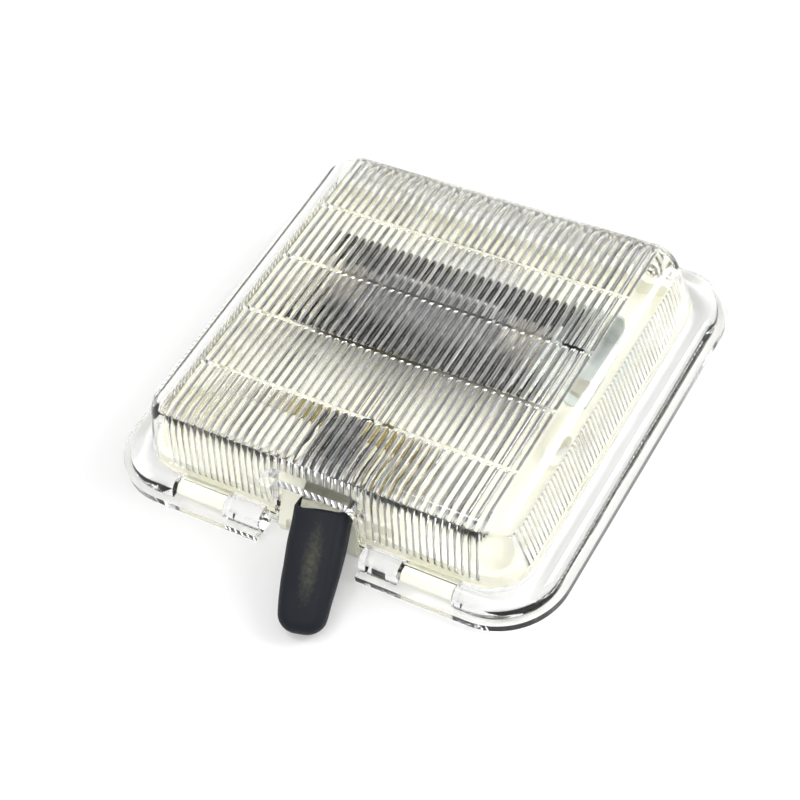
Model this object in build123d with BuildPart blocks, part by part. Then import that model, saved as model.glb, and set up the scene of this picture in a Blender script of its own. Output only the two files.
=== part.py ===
from build123d import *
import os
from math import cos, radians, sin, tan

# Car dome light: a ribbed clear lens, snapped over a moulded tray with a festoon bulb and a lever switch.
# Millimetres. X runs along the front edge, -Y is the lever side, Z points from the mounting face to the lens.
# The origin is the centre of the mounting face.

# Lens outline and section
lens_width = 80.0
lens_depth = 77.0
lens_height = 15.0
lens_corner_radius = 11.2
lip_height = 1.3
lip_ledge = 1.2
bead_rise = 2.6
bead_edge_radius = 2.4
bead_wall = 1.3
shoulder_front = 0.7
shoulder_side = 1.35
dome_corner_radius = 7.7
dome_edge_radius = 4.0
wall_draft = 12.0
lens_wall = 1.8
cavity_corner_radius = 4.5
cavity_edge_radius = 2.2

# Ribs inside the lens
rib_pitch = 1.5
rib_margin = 2.6
rib_depth = 0.35
band_count = 5
band_pitch = 12.6
band_gap = 0.6
front_flute_pitch = 1.2
front_flute_depth = 0.3
side_flute_pitch = 1.0
side_flute_depth = 0.25
side_flute_stop = 2.0
flute_margin = 2.75
rib_backing = 0.5

# Lever notch and snap windows of the lens
notch_width = 15.2
notch_top = 10.5
notch_radius = 1.7
collar_thickness = 1.9
collar_setback = 0.2
flange_gap = 18.4
window_width = 9.7
window_spacing = 41.5

# Tray
seat_gap = 0.3
tray_ledge = 1.0
floor_thickness = 1.6
rim_gap = 0.5
rim_wall = 1.4
rim_top = 4.6
screen_width = 26.0
screen_wall = 1.4
screen_top = 7.0
screen_gap = 0.5
chin_gap = 0.4
chin_foot = 1.2
chin_setback = 0.6
dimple_width = 2.0
dimple_height = 2.8
dimple_depth = 0.7
dimple_radius = 0.95
dimple_x = -4.8
hook_wall = 1.1
hook_nose = 0.9
hook_nose_height = 0.6
hook_top = 3.2
wire_slot_length = 16.0
wire_slot_width = 8.0
wire_slot_y = 23.0
wire_rim_wall = 1.2
wire_rim_height = 1.0
screw_inset = 3.15
screw_y = -5.0
screw_hole_radius = 2.1
screw_boss_radius = 4.2
screw_boss_height = 1.4

# Sheet metal
sheet = 0.5
rivet_radius = 1.0
rivet_head_radius = 1.8
rivet_head_height = 0.6
rivet_clearance = 0.05
tail_recess_depth = 0.7
tail_height = 0.4

# Festoon bulb
bulb_length = 41.0
bulb_y = 7.5
bulb_z = 7.1
glass_radius = 5.25
glass_wall = 0.6
glass_neck_radius = 3.8
glass_half_length = 14.6
glass_taper = 2.6
cap_radius = 4.25
cap_length = 7.0
cap_cone_length = 3.0
cap_tip_radius = 1.3
cap_bore_depth = 2.4
cap_bore_gap = 0.1
coil_radius = 0.45
coil_length = 15.0
lead_radius = 0.22

# Bulb clips and reflector
clip_width = 7.0
clip_hole_radius = 2.2
clip_top = 10.9
clip_flare = 1.4
clip_bend_radius = 0.5
foot_gap = 4.0
tail_width = 1.8
tail_gap = 0.5
tab_width = 6.3
tab_height = 7.0
tab_reach = 7.6
reflector_sheet = 0.4
reflector_length = 45.0
reflector_floor = 8.0
reflector_top = 8.0
reflector_angle = 50.0
reflector_gap = 0.6
reflector_recess = 0.8

# Switch contacts
contact_inner_x = 1.5
contact_end_gap = 2.65
contact_width = 3.5
contact_radius = 9.3
contact_rivet_inset = 4.2
short_contact_end = 13.6
contact_leg = 6.9

# Lever switch
rest_yaw = 14.4
pin_radius = 1.5
pin_clearance = 0.05
pin_head_radius = 2.3
pin_head_height = 0.95
pin_tail_radius = 2.1
spacer_radius = 2.4
spacer_height = 1.6
washer_radius = 2.3
washer_height = 0.35
running_gap = 0.1
rotor_radius = 4.8
rotor_gap = 0.6
rotor_base = 4.5
rotor_cover = 0.95
rotor_tail_width = 7.4
rotor_tail_reach = 6.4
stem_width = 7.4
stem_thickness = 1.0
stem_bend = 8.95
stem_tongue = 14.0
lever_droop = 22.0
sleeve_start = -0.1
sleeve_slant = 40.0
sleeve_mid = 12.6
sleeve_length = 20.3
sleeve_mouth_width = 9.2
sleeve_mid_width = 8.8
sleeve_end_width = 6.8
sleeve_mouth_thickness = 4.3
sleeve_end_thickness = 3.1
sleeve_end_radius = 2.9
sleeve_side_radius = 12.0
sleeve_edge_radius = 1.4
sleeve_cup_width = 8.2
sleeve_cup_thickness = 3.2
sleeve_cup_depth = 1.6
sleeve_gap = 0.3
wiper_sheet = 0.4
wiper_width = 5.0
wiper_gap = 0.3
wiper_seat = 3.0
wiper_drop = 2.2
wiper_pad = 2.4
rotor_rivet_radius = 0.6
rotor_rivet_spread = 3.4
rotor_rivet_reach = 4.7
stem_rivet_reach = 3.25
stem_tail_gap = 0.4
stem_slot_gap = 0.05
rotor_rivet_head = 0.4
rotor_rivet_head_radius = 0.9

# Levels and outlines worked out from the sizes above
shoulder_z = lip_height + bead_rise
bead_inset = lip_ledge + bead_rise
flange_front = bead_inset + shoulder_front
flange_side = bead_inset + shoulder_side
dome_width = lens_width - 2 * flange_side
dome_depth = lens_depth - 2 * flange_front
pocket_inset = lip_ledge + bead_wall
cavity_width = dome_width - 2 * lens_wall
cavity_depth = dome_depth - 2 * lens_wall
rib_level = lens_height - lens_wall - rib_depth
draft_sin = sin(radians(wall_draft))
draft_cos = cos(radians(wall_draft))
draft_inset = (rib_level - shoulder_z) * tan(radians(wall_draft))
flute_length = (rib_level - shoulder_z) / draft_cos
cavity_edge_x = cavity_width / 2 - draft_inset
cavity_edge_y = cavity_depth / 2 - draft_inset
rib_count = 2 * int((cavity_edge_x - rib_margin) / rib_pitch)
front_flute_count = 1 + 2 * int((cavity_edge_x - flute_margin) / front_flute_pitch - 0.5)
side_flute_count = 1 + 2 * int((cavity_edge_y - flute_margin) / side_flute_pitch - 0.5)
cavity_edge_run = cavity_edge_radius * tan(radians((90 - wall_draft) / 2))

tray_width = dome_width - 2 * tray_ledge
tray_depth = dome_depth - 2 * tray_ledge
tray_radius = dome_corner_radius - tray_ledge
rim_width = cavity_width - 2 * rim_gap
rim_depth = cavity_depth - 2 * rim_gap
rim_radius = cavity_corner_radius - rim_gap
rim_inside_x = rim_width / 2 - rim_wall
screw_x = rim_inside_x - screw_inset
notch_half = notch_width / 2
collar_face_y = -(dome_depth / 2 - collar_setback)
screen_front_y = -(cavity_depth / 2 - (screen_top - shoulder_z) * tan(radians(wall_draft)) - screen_gap)
screen_back_y = screen_front_y + screen_wall
chin_front_y = -(dome_depth / 2 + chin_setback)
hook_y = lens_depth / 2 - pocket_inset - seat_gap
hook_width = window_width - 2 * chin_gap

sheet_z = floor_thickness + sheet
pivot_y = screen_back_y + rotor_gap + rotor_radius
spacer_top = sheet_z + spacer_height
washer_top = spacer_top + washer_height
rotor_bottom = washer_top + running_gap
stem_bottom = rotor_bottom + rotor_base
stem_top = stem_bottom + stem_thickness
stem_mid = stem_bottom + stem_thickness / 2
rotor_top = stem_top + rotor_cover
head_bottom = rotor_top + running_gap
contact_y = pivot_y + contact_radius

bulb_half = bulb_length / 2
cone_slope = (cap_radius - cap_tip_radius) / cap_cone_length
clip_x = bulb_half - (clip_hole_radius - cap_tip_radius) / cone_slope + rivet_clearance
clip_end_x = rim_inside_x - foot_gap
clip_rivet_x = (clip_x + sheet + clip_end_x) / 2
tail_x = -(clip_x + tail_width / 2)
flank_slant = reflector_sheet / sin(radians(reflector_angle))
flank_spread = flank_slant + reflector_recess / tan(radians(reflector_angle))
tail_run_y = bulb_y - reflector_floor / 2 - flank_spread - tail_gap - tail_width / 2
contact_end_x = rim_inside_x - contact_end_gap
contact_rivet_x = contact_end_x - tab_width - contact_rivet_inset
short_rivet_x = short_contact_end - tab_width / 2
tab_y = contact_y - contact_leg

lever_yaw = radians(rest_yaw)
lever_x_dir = (cos(lever_yaw), sin(lever_yaw), 0)
lever_y_dir = (-sin(lever_yaw), cos(lever_yaw), 0)
droop = radians(lever_droop)


def lever_level(z):
    """Level plane in the lever's own frame: local -Y points along the lever, the pivot is its origin."""
    return Plane(origin=(0, pivot_y, z), x_dir=lever_x_dir, z_dir=(0, 0, 1))


def lever_side():
    """Upright plane along the lever: local x is the lever's +Y, local y is height."""
    return Plane(origin=(0, pivot_y, 0), x_dir=lever_y_dir, z_dir=lever_x_dir)


def lever_section(distance):
    """Plane across the drooping tongue at a distance past the bend."""
    along = -stem_bend - distance * cos(droop)
    height = stem_mid - distance * sin(droop)
    centre = (-along * sin(lever_yaw), pivot_y + along * cos(lever_yaw), height)
    axis = (sin(lever_yaw) * cos(droop), -cos(lever_yaw) * cos(droop), -sin(droop))
    return Plane(origin=centre, x_dir=lever_x_dir, z_dir=axis)


def tongue_plan():
    """Plane in the drooping tongue's middle: local x across the lever, local -Y points along the tongue."""
    section = lever_section(0)
    return Plane(origin=section.origin, x_dir=section.x_dir, z_dir=section.z_dir.cross(section.x_dir))


def tongue_side():
    """Upright plane along the tongue: local x is the tongue's +Y, local y is its height."""
    plan = tongue_plan()
    return Plane(origin=plan.origin, x_dir=plan.y_dir, z_dir=plan.x_dir)


def draw_ribs(count, pitch, depth):
    """Scalloped strip: rounded rib crests at height 0, sharp valleys at the depth, a backing strip below."""
    half = count * pitch / 2
    with BuildLine() as strip:
        for i in range(count):
            x = -half + i * pitch
            ThreePointArc((x, depth), (x + pitch / 2, 0), (x + pitch, depth))
        Polyline((half, depth), (half, -rib_backing), (-half, -rib_backing), (-half, depth))
    make_face(strip.edges())


def draw_arch(middle, half_width, top, radius):
    """Doorway outline standing on height 0 about a middle line, with two rounded upper corners."""
    left = middle - half_width
    right = middle + half_width
    with BuildLine() as arch:
        Polyline((left, top - radius), (left, 0), (right, 0), (right, top - radius))
        RadiusArc((right, top - radius), (right - radius, top), -radius)
        Line((right - radius, top), (left + radius, top))
        RadiusArc((left + radius, top), (left, top - radius), -radius)
    make_face(arch.edges())


def finish(piece, name):
    """Label a finished piece and write its file."""
    piece.part.label = name
    export_step(piece.part, f"parts/{name}.step")


os.makedirs("parts", exist_ok=True)

# Hollow of the lens, with the ribs of its top and the flutes of its four walls
with BuildPart() as cavity:
    with BuildSketch(Plane.XY):
        RectangleRounded(cavity_width, cavity_depth, cavity_corner_radius)
    extrude(amount=shoulder_z)
    with BuildSketch(Plane.XY.offset(shoulder_z)):
        RectangleRounded(cavity_width, cavity_depth, cavity_corner_radius)
    extrude(amount=rib_level - shoulder_z, taper=wall_draft)
    for band in range(band_count):
        middle = (band - (band_count - 1) / 2) * band_pitch
        start = middle - (band_pitch - band_gap) / 2
        end = middle + (band_pitch - band_gap) / 2
        if band == 0:
            start = -cavity_edge_y
        if band == band_count - 1:
            end = cavity_edge_y
        with BuildSketch(Plane(origin=(0, start, rib_level), x_dir=(-1, 0, 0), z_dir=(0, 1, 0))):
            draw_ribs(rib_count, rib_pitch, rib_depth)
        extrude(amount=end - start)
    for side in (-1, 1):
        with BuildSketch(
            Plane(
                origin=(0, side * cavity_depth / 2, shoulder_z),
                x_dir=(side, 0, 0),
                z_dir=(0, -side * draft_sin, draft_cos),
            )
        ):
            draw_ribs(front_flute_count, front_flute_pitch, front_flute_depth)
        extrude(amount=flute_length)
        with BuildSketch(
            Plane(
                origin=(side * cavity_width / 2, 0, shoulder_z),
                x_dir=(0, -side, 0),
                z_dir=(-side * draft_sin, 0, draft_cos),
            )
        ):
            draw_ribs(side_flute_count, side_flute_pitch, side_flute_depth)
        extrude(amount=flute_length - side_flute_stop)

    for side in (-1, 1):
        with BuildSketch(Plane.XZ):
            with BuildLine():
                wall_point = (
                    side * (cavity_edge_x + cavity_edge_run * draft_sin),
                    rib_level - cavity_edge_run * draft_cos,
                )
                Polyline(
                    (side * (cavity_edge_x - cavity_edge_run), rib_level),
                    (side * (cavity_edge_x + rib_backing), rib_level),
                    (wall_point[0] + side * rib_backing, wall_point[1]),
                    wall_point,
                )
                RadiusArc(
                    wall_point,
                    (side * (cavity_edge_x - cavity_edge_run), rib_level),
                    -side * cavity_edge_radius,
                )
            make_face()
        extrude(amount=cavity_depth, both=True, mode=Mode.SUBTRACT)

# Lens: lip, quarter-round bead and drafted dome, hollowed, with a rebate for the tray, notch and windows
with BuildPart() as lens:
    with BuildSketch(Plane.XY):
        RectangleRounded(lens_width, lens_depth, lens_corner_radius)
    extrude(amount=lip_height)
    with BuildSketch(Plane.XY.offset(lip_height)):
        RectangleRounded(
            lens_width - 2 * lip_ledge, lens_depth - 2 * lip_ledge, lens_corner_radius - lip_ledge
        )
    extrude(amount=bead_rise)
    fillet(lens.edges().group_by(Axis.Z)[-1], bead_edge_radius)
    with BuildSketch(Plane.XY.offset(shoulder_z)):
        RectangleRounded(dome_width, dome_depth, dome_corner_radius)
    extrude(amount=lens_height - shoulder_z, taper=wall_draft)
    fillet(lens.edges().group_by(Axis.Z)[-1], dome_edge_radius)
    with BuildSketch(Plane.XZ.offset(-collar_face_y)):
        draw_arch(
            0, notch_half + collar_thickness, notch_top + collar_thickness, notch_radius + collar_thickness
        )
    extrude(amount=-(cavity_depth / 2 + collar_face_y) - 2 * lens_wall)
    with BuildSketch(Plane.XY):
        RectangleRounded(tray_width + 2 * seat_gap, tray_depth + 2 * seat_gap, tray_radius + seat_gap)
        with GridLocations(window_spacing, 0, 2, 1):
            Rectangle(window_width, 2 * (hook_y + seat_gap))
    extrude(amount=floor_thickness + seat_gap, mode=Mode.SUBTRACT)
    add(cavity.part, mode=Mode.SUBTRACT)
    with BuildSketch(Plane.XZ.offset(lens_depth / 2)):
        draw_arch(0, notch_half, notch_top, notch_radius)
    extrude(amount=-(lens_depth / 2 - cavity_edge_y) - lens_wall, mode=Mode.SUBTRACT)
    with BuildSketch(Plane.XY):
        with Locations((0, -(lens_depth - flange_front) / 2)):
            Rectangle(flange_gap, flange_front)
    extrude(amount=shoulder_z, mode=Mode.SUBTRACT)
    with BuildSketch(Plane.XY.offset(lip_height)):
        with GridLocations(window_spacing, lens_depth - bead_inset - seat_gap, 2, 2):
            Rectangle(window_width, bead_inset + seat_gap)
    extrude(amount=bead_rise, mode=Mode.SUBTRACT)
finish(lens, "lens")

# Tray: floor, centring rim, screen and chin behind the notch, snap hooks, bosses and holes
with BuildPart() as base_tray:
    with BuildSketch(Plane.XY):
        RectangleRounded(tray_width, tray_depth, tray_radius)
    extrude(amount=floor_thickness)
    with BuildSketch(Plane.XY.offset(floor_thickness)):
        RectangleRounded(rim_width, rim_depth, rim_radius)
        RectangleRounded(
            rim_width - 2 * rim_wall, rim_depth - 2 * rim_wall, rim_radius - rim_wall, mode=Mode.SUBTRACT
        )
    extrude(amount=rim_top - floor_thickness)
    with BuildSketch(Plane.XY):
        with GridLocations(window_spacing, 0, 2, 1):
            Rectangle(hook_width, 2 * hook_y)
    extrude(amount=floor_thickness)
    with BuildSketch(Plane.YZ):
        with BuildLine():
            Polyline(
                (screen_front_y, 0),
                (screen_front_y, screen_top),
                (screen_back_y, screen_top),
                (screen_back_y, 0),
                close=True,
            )
        make_face()
    extrude(amount=screen_width / 2, both=True)
    with BuildSketch(Plane.YZ):
        with BuildLine():
            Polyline(
                (chin_front_y, 0),
                (chin_front_y, chin_foot),
                (screen_front_y, screen_top),
                (screen_back_y, screen_top),
                (screen_back_y, 0),
                close=True,
            )
        make_face()
    extrude(amount=notch_half - chin_gap, both=True)
    with BuildSketch(Plane.XZ.offset(-chin_front_y)):
        draw_arch(dimple_x, dimple_width / 2, dimple_height, dimple_radius)
    extrude(amount=-dimple_depth, mode=Mode.SUBTRACT)
    for side in (-1, 1):
        for end in (-1, 1):
            with BuildSketch(
                Plane(
                    origin=(side * window_spacing / 2, end * hook_y, 0),
                    x_dir=(0, end, 0),
                    z_dir=(end, 0, 0),
                )
            ):
                with BuildLine():
                    Polyline(
                        (-hook_wall, 0),
                        (0, 0),
                        (0, floor_thickness),
                        (hook_nose, floor_thickness),
                        (hook_nose, floor_thickness + hook_nose_height),
                        (0, hook_top),
                        (-hook_wall, hook_top),
                        close=True,
                    )
                make_face()
            extrude(amount=hook_width / 2, both=True)
    with BuildSketch(Plane.XY.offset(floor_thickness - reflector_recess)):
        with Locations((0, bulb_y)):
            Rectangle(
                2 * (clip_x - reflector_gap) + reflector_gap,
                reflector_floor + 2 * flank_spread + reflector_gap,
            )
    extrude(amount=reflector_recess, mode=Mode.SUBTRACT)
    with BuildSketch(Plane.XY):
        with Locations((0, wire_slot_y)):
            SlotOverall(wire_slot_length + 2 * wire_rim_wall, wire_slot_width + 2 * wire_rim_wall)
    extrude(amount=floor_thickness + wire_rim_height)
    with BuildSketch(Plane.XY):
        with Locations((0, wire_slot_y)):
            SlotOverall(wire_slot_length, wire_slot_width)
    extrude(amount=floor_thickness + wire_rim_height, mode=Mode.SUBTRACT)
    with BuildSketch(Plane.XY):
        with Locations((-screw_x, screw_y), (screw_x, screw_y)):
            Circle(screw_boss_radius)
    extrude(amount=floor_thickness + screw_boss_height)
    with BuildSketch(Plane.XY):
        with Locations((-screw_x, screw_y), (screw_x, screw_y)):
            Circle(screw_hole_radius)
    extrude(amount=floor_thickness + screw_boss_height, mode=Mode.SUBTRACT)
    rivet_places = [
        (-clip_rivet_x, bulb_y),
        (clip_rivet_x, bulb_y),
        (-contact_rivet_x, contact_y),
        (short_rivet_x, contact_y),
    ]
    with BuildSketch(Plane.XY):
        with Locations(*rivet_places):
            Circle(rivet_radius + rivet_clearance)
        with Locations((0, pivot_y)):
            Circle(pin_radius + pin_clearance)
    extrude(amount=floor_thickness, mode=Mode.SUBTRACT)
    with BuildSketch(Plane.XY):
        with Locations(*rivet_places):
            Circle(rivet_head_radius + seat_gap)
        with Locations((0, pivot_y)):
            Circle(pin_tail_radius + seat_gap)
    extrude(amount=tail_recess_depth, mode=Mode.SUBTRACT)
finish(base_tray, "base_tray")

# Reflector: folded trough under the bulb, with its flanks run on past the clips as wings
with BuildPart() as reflector:
    floor_z = floor_thickness - reflector_recess
    flank_rise = reflector_top - floor_z - reflector_sheet
    flank_run = flank_rise / tan(radians(reflector_angle))
    half = reflector_floor / 2
    with BuildSketch(Plane(origin=(0, bulb_y, floor_z), x_dir=(0, 1, 0), z_dir=(1, 0, 0))):
        with BuildLine():
            Polyline(
                (-half - flank_run, reflector_top - floor_z),
                (-half, reflector_sheet),
                (half, reflector_sheet),
                (half + flank_run, reflector_top - floor_z),
                (half + flank_run + flank_slant, reflector_top - floor_z),
                (half + reflector_sheet / 2, 0),
                (-half - reflector_sheet / 2, 0),
                (-half - flank_run - flank_slant, reflector_top - floor_z),
                close=True,
            )
        make_face()
    extrude(amount=reflector_length / 2, both=True)
    wing_cut = reflector_length / 2 - clip_x + reflector_gap
    for side in (-1, 1):
        with BuildSketch(Plane.XY.offset(floor_z)):
            with Locations((side * (reflector_length - wing_cut) / 2, bulb_y)):
                Rectangle(wing_cut, 2 * (bulb_y - tail_run_y + tail_width))
        extrude(amount=sheet_z + tail_gap - floor_z, mode=Mode.SUBTRACT)
finish(reflector, "reflector")

# Festoon bulb: drawn glass tube, two pressed caps and the coil with its leads
bulb_plane = Plane(origin=(0, bulb_y, bulb_z), x_dir=(1, 0, 0), z_dir=(0, -1, 0))
bulb_axis = Axis((0, bulb_y, bulb_z), (1, 0, 0))
glass_shoulder = glass_half_length - cap_bore_depth - glass_taper
with BuildPart() as bulb_glass:
    with BuildSketch(bulb_plane):
        with BuildLine():
            Polyline(
                (-glass_half_length, glass_neck_radius),
                (-glass_half_length + cap_bore_depth, glass_neck_radius),
                (-glass_shoulder, glass_radius),
                (glass_shoulder, glass_radius),
                (glass_half_length - cap_bore_depth, glass_neck_radius),
                (glass_half_length, glass_neck_radius),
                (glass_half_length, glass_neck_radius - glass_wall),
                (glass_half_length - cap_bore_depth, glass_neck_radius - glass_wall),
                (glass_shoulder, glass_radius - glass_wall),
                (-glass_shoulder, glass_radius - glass_wall),
                (-glass_half_length + cap_bore_depth, glass_neck_radius - glass_wall),
                (-glass_half_length, glass_neck_radius - glass_wall),
                close=True,
            )
        make_face()
    revolve(axis=bulb_axis)
finish(bulb_glass, "bulb_glass")

cap_mouth = bulb_half - cap_length
for side, name in ((-1, "bulb_cap_left"), (1, "bulb_cap_right")):
    with BuildPart() as bulb_cap:
        with BuildSketch(bulb_plane):
            with BuildLine():
                Polyline(
                    (side * cap_mouth, glass_neck_radius + cap_bore_gap),
                    (side * cap_mouth, cap_radius),
                    (side * (bulb_half - cap_cone_length), cap_radius),
                    (side * bulb_half, cap_tip_radius),
                    (side * bulb_half, 0),
                    (side * (glass_half_length + cap_bore_gap), 0),
                    (side * (glass_half_length + cap_bore_gap), glass_neck_radius + cap_bore_gap),
                    close=True,
                )
            make_face()
        revolve(axis=bulb_axis)
    finish(bulb_cap, name)

with BuildPart() as filament:
    with BuildSketch(Plane(origin=(0, bulb_y, bulb_z), x_dir=(0, 1, 0), z_dir=(1, 0, 0))):
        Circle(coil_radius)
    extrude(amount=coil_length / 2, both=True)
    with BuildSketch(Plane(origin=(0, bulb_y, bulb_z), x_dir=(0, 1, 0), z_dir=(1, 0, 0))):
        Circle(lead_radius)
    extrude(amount=glass_half_length + cap_bore_gap, both=True)
finish(filament, "filament")


def draw_clip(side):
    """Folded strip of a bulb clip seen from the front: foot, upright and the flared top edge."""
    inner = side * clip_x
    outer = side * (clip_x + sheet)
    flare_in = side * (clip_x + clip_flare)
    flare_out = side * (clip_x + clip_flare + sheet)
    with BuildLine() as strip:
        Polyline(
            (inner, floor_thickness),
            (side * clip_end_x, floor_thickness),
            (side * clip_end_x, sheet_z),
            (outer, sheet_z),
            (outer, clip_top - clip_flare),
            (flare_out, clip_top),
            (flare_in, clip_top),
            (inner, clip_top - clip_flare),
            close=True,
        )
    make_face(strip.edges())


def round_clip(clip, side):
    """Round the inside and the outside of the fold between the foot and the upright."""
    folds = clip.edges().filter_by(Axis.Y)
    inside = Vector(side * (clip_x + sheet), bulb_y, sheet_z)
    outside = Vector(side * clip_x, bulb_y, floor_thickness)
    fillet(folds.sort_by_distance(inside)[0], clip_bend_radius)
    folds = clip.edges().filter_by(Axis.Y)
    fillet(folds.sort_by_distance(outside)[0], clip_bend_radius + sheet)


def clip_holes(side):
    """Cup hole for the bulb cap and rivet hole in the foot, as one cut."""
    cup_plane = Plane(origin=(side * clip_x, bulb_y, bulb_z), x_dir=(0, 1, 0), z_dir=(side, 0, 0))
    with BuildSketch(cup_plane) as cup:
        Circle(clip_hole_radius)
    extrude(cup.sketch, amount=sheet, mode=Mode.SUBTRACT)
    with BuildSketch(Plane.XY.offset(floor_thickness)) as rivet_hole:
        with Locations((side * clip_rivet_x, bulb_y)):
            Circle(rivet_radius + rivet_clearance)
    extrude(rivet_hole.sketch, amount=sheet, mode=Mode.SUBTRACT)


# Left clip: one stamping with the tail that runs to the ring round the lever's pivot
with BuildPart() as clip_left:
    with BuildSketch(Plane.XZ.offset(-bulb_y)):
        draw_clip(-1)
    extrude(amount=clip_width / 2, both=True)
    round_clip(clip_left, -1)
    clip_holes(-1)
    with BuildSketch(Plane.XY.offset(floor_thickness)):
        with Locations((tail_x, (tail_run_y + bulb_y - clip_width / 2) / 2)):
            Rectangle(tail_width, bulb_y - clip_width / 2 - tail_run_y + tail_width)
        with Locations((tail_x / 2, tail_run_y)):
            Rectangle(-tail_x + tail_width, tail_width)
        with Locations((0, (tail_run_y + pivot_y) / 2)):
            Rectangle(tail_width, tail_run_y - pivot_y + tail_width)
        with Locations((0, pivot_y)):
            Circle(spacer_radius)
            Circle(pin_radius + pin_clearance, mode=Mode.SUBTRACT)
    extrude(amount=sheet)
finish(clip_left, "clip_left")

# Right clip: with the feed tab folded up behind its foot
with BuildPart() as clip_right:
    with BuildSketch(Plane.XZ.offset(-bulb_y)):
        draw_clip(1)
    extrude(amount=clip_width / 2, both=True)
    round_clip(clip_right, 1)
    clip_holes(1)
    with BuildSketch(Plane.XY.offset(floor_thickness)):
        with Locations((clip_rivet_x, bulb_y + (clip_width + tab_reach) / 2)):
            Rectangle(tab_width, tab_reach)
    extrude(amount=sheet)
    with BuildSketch(Plane.XZ.offset(-(bulb_y + clip_width / 2 + tab_reach))):
        with Locations((clip_rivet_x, sheet_z + (tab_height - sheet) / 2)):
            Rectangle(tab_width, tab_height - sheet)
    extrude(amount=sheet)
finish(clip_right, "clip_right")

# Switch contacts: flat strips under the wiper, each with a leg to the front and a tab folded up at its end
for side, name, end_x, rivet_x in (
    (-1, "contact_left", contact_end_x, contact_rivet_x),
    (1, "contact_right", short_contact_end, short_rivet_x),
):
    with BuildPart() as contact:
        with BuildSketch(Plane.XY.offset(floor_thickness)):
            with Locations((side * (contact_inner_x + end_x) / 2, contact_y)):
                Rectangle(end_x - contact_inner_x, contact_width)
            with Locations((side * (end_x - tab_width / 2), (contact_y + tab_y) / 2)):
                Rectangle(tab_width, contact_y - tab_y)
            with Locations((side * rivet_x, contact_y)):
                Circle(rivet_radius + rivet_clearance, mode=Mode.SUBTRACT)
        extrude(amount=sheet)
        with BuildSketch(Plane.XZ.offset(-tab_y)):
            with Locations((side * (end_x - tab_width / 2), sheet_z + (tab_height - sheet) / 2)):
                Rectangle(tab_width, tab_height - sheet)
        extrude(amount=-sheet)
    finish(contact, name)

# Rivets that hold the clips and contacts to the tray
with BuildPart() as tray_rivets:
    with BuildSketch(Plane.XY.offset(tail_recess_depth - tail_height)):
        with Locations(*rivet_places):
            Circle(rivet_radius)
    extrude(amount=sheet_z + rivet_head_height - tail_recess_depth + tail_height)
    with BuildSketch(Plane.XY.offset(sheet_z)):
        with Locations(*rivet_places):
            Circle(rivet_head_radius)
    extrude(amount=rivet_head_height)
    chamfer(tray_rivets.edges().group_by(Axis.Z)[-1], rivet_head_height / 2)
    with BuildSketch(Plane.XY.offset(tail_recess_depth - tail_height)):
        with Locations(*rivet_places):
            Circle(rivet_head_radius)
    extrude(amount=tail_height)
finish(tray_rivets, "tray_rivets")

# Pivot of the lever: shouldered pin, turned spacer and spring washer
with BuildPart() as pivot_pin:
    with BuildSketch(Plane.XY.offset(tail_recess_depth - tail_height)):
        with Locations((0, pivot_y)):
            Circle(pin_radius)
    extrude(amount=head_bottom - tail_recess_depth + tail_height)
    with BuildSketch(Plane.XY.offset(tail_recess_depth - tail_height)):
        with Locations((0, pivot_y)):
            Circle(pin_tail_radius)
    extrude(amount=tail_height)
    with BuildSketch(Plane.XY.offset(head_bottom)):
        with Locations((0, pivot_y)):
            Circle(pin_head_radius)
    extrude(amount=pin_head_height)
    chamfer(pivot_pin.edges().group_by(Axis.Z)[-1], pin_head_height / 2)
finish(pivot_pin, "pivot_pin")

for name, bottom, height, radius in (
    ("pivot_spacer", sheet_z, spacer_height, spacer_radius),
    ("pivot_washer", spacer_top, washer_height, washer_radius),
):
    with BuildPart() as ring:
        with BuildSketch(Plane.XY.offset(bottom)):
            with Locations((0, pivot_y)):
                Circle(radius)
                Circle(pin_radius + pin_clearance, mode=Mode.SUBTRACT)
        extrude(amount=height)
    finish(ring, name)

rivet_side = rotor_rivet_spread / 2
wiper_rivet_places = [(-rivet_side, rotor_rivet_reach), (rivet_side, rotor_rivet_reach)]
stem_rivet_places = [(-rivet_side, -stem_rivet_reach), (rivet_side, -stem_rivet_reach)]
stem_tail = -(pin_radius + pin_clearance + stem_tail_gap)


def draw_rivet_holes(places):
    """Holes for the rotor's rivets."""
    with Locations(*places):
        Circle(rotor_rivet_radius + rivet_clearance)


# Switch rotor: a moulded disc with a blunt tail for the wiper and a slot in front that grips the stem
with BuildPart() as switch_rotor:
    with BuildSketch(lever_level(rotor_bottom)):
        Circle(rotor_radius)
        with Locations((0, rotor_tail_reach / 2)):
            Rectangle(rotor_tail_width, rotor_tail_reach)
    extrude(amount=rotor_top - rotor_bottom)
    with BuildSketch(lever_level(rotor_bottom)):
        Circle(pin_radius + pin_clearance)
        draw_rivet_holes(wiper_rivet_places)
        draw_rivet_holes(stem_rivet_places)
    extrude(amount=rotor_top - rotor_bottom, mode=Mode.SUBTRACT)
    with BuildSketch(lever_level(stem_bottom - stem_slot_gap)):
        with Locations((0, stem_tail + stem_slot_gap)):
            Rectangle(stem_width + 2 * stem_slot_gap, rotor_radius, align=(Align.CENTER, Align.MAX))
    extrude(amount=stem_thickness + 2 * stem_slot_gap, mode=Mode.SUBTRACT)
finish(switch_rotor, "switch_rotor")

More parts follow.
